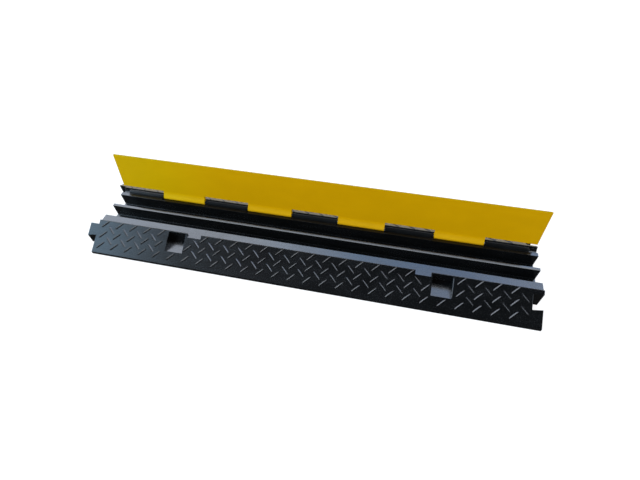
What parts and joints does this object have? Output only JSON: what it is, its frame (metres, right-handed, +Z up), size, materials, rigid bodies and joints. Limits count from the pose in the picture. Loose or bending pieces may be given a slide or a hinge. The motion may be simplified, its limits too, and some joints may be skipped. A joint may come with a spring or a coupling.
{
  "type": "cable protector ramp",
  "caption": "Low rubber ramp with open cable channels under a hinged full-length lid, interlocking tongues and slots at its ends, and an anti-slip tread.",
  "frame": {"origin": "middle of the base's 1000 by 250 mm footprint, on the ground, without the joining tongues", "axes": "+X along the ramp towards the slotted end, +Y across it towards the hinge, +Z up"},
  "size_m": [1.0208, 0.25, 0.1412],
  "materials": {
    "black_rubber": "moulded, slightly glossy, dusty",
    "yellow_plastic": "moulded satin",
    "rod_steel": "drawn, bright zinc plated",
    "plug_plastic": "moulded"
  },
  "bodies": {
    "base": {"base": "black_rubber", "hinge_rod": "rod_steel", "rod_plug_left": "plug_plastic", "rod_plug_right": "plug_plastic"},
    "lid": {"lid": "yellow_plastic"}
  },
  "joints": [
    {"name": "lid_hinge", "type": "hinge", "parent": "base", "child": "lid", "pos_m": [0, 0.05, 0.0393], "axis": [1, 0, 0], "range_deg": [0, 99.5]}
  ]
}
